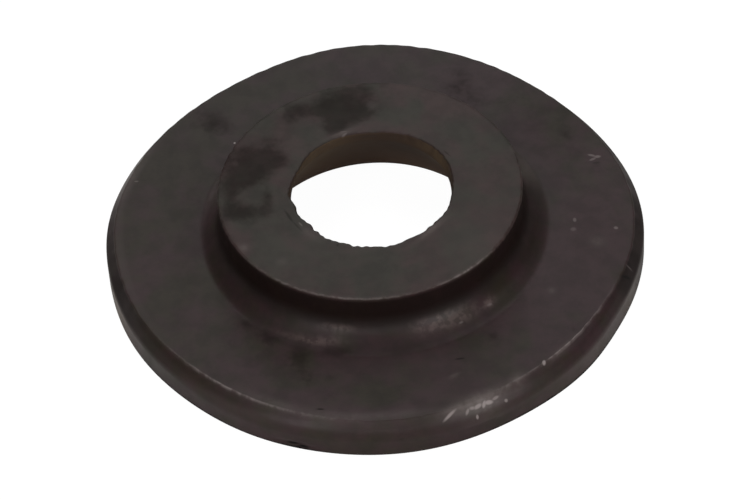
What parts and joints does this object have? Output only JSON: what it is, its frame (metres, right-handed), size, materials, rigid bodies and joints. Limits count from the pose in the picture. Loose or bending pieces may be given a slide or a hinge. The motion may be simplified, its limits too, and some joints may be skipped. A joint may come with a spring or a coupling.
{
  "type": "spring seat",
  "caption": "Round turned steel spring seat: a flat flange with a bevelled rim, a raised flat-topped boss and a central hole that widens towards the underside.",
  "frame": {"origin": "centre of the flat underside, on the axis of the hole", "axes": "+Z along the axis, out of the boss's flat top; X and Y lie in the underside and are interchangeable, because the seat is round"},
  "size_m": [0.04, 0.04, 0.007],
  "materials": {
    "phosphated_steel": "dark brown-grey phosphate coating on turned steel, satin, oil-stained, with bare scuffs on the rim"
  },
  "bodies": {
    "root": {"spring_seat": "phosphated_steel"}
  },
  "joints": []
}
